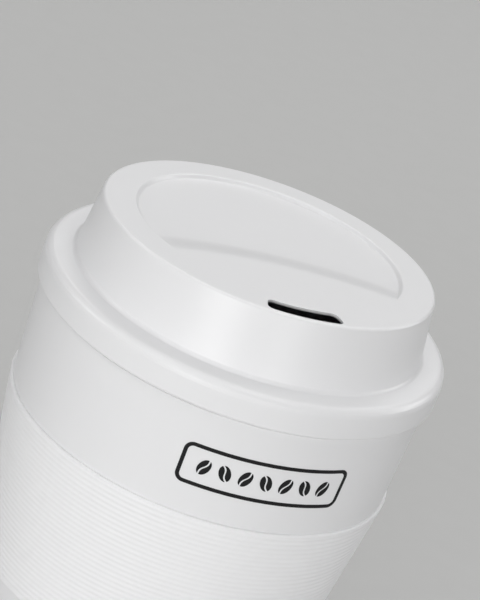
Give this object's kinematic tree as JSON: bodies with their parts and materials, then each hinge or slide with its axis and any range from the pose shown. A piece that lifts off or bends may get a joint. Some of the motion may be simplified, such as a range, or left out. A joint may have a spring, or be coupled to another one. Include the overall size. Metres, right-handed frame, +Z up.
{
  "type": "screw lid coffee cup",
  "caption": "Tapered reusable coffee cup with a ribbed soft grip and a screw lid with a tall collar, a shallow D-shaped recess and a drinking slot.",
  "frame": {"origin": "centre of the foot, on the surface that the cup stands on", "axes": "+Z up along the cup's axis, -Y towards the drinking slot in the closed lid"},
  "size_m": [0.0906, 0.0906, 0.1397],
  "materials": {
    "cup_white": "satin moulded polypropylene",
    "grip_white": "matt moulded silicone",
    "seal_grey": "matt moulded silicone",
    "lid_white": "satin moulded polypropylene"
  },
  "bodies": {
    "cup": {"cup_body": "cup_white", "grip_sleeve": "grip_white"},
    "seal": {"lid_seal": "seal_grey"},
    "lid": {"screw_lid": "lid_white"}
  },
  "joints": [
    {"name": "lid_rise", "type": "slide", "parent": "cup", "child": "seal", "axis": [0, 0, 1], "range_m": [0, 0.0083]},
    {"name": "lid_turn", "type": "hinge", "parent": "seal", "child": "lid", "pos_m": [0, 0, 0.123], "axis": [0, 0, 1], "range_deg": [0, 330]}
  ],
  "couplings": [
    {"joint": "lid_rise", "follows": "lid_turn", "m_per_rad": 0.0014324}
  ]
}
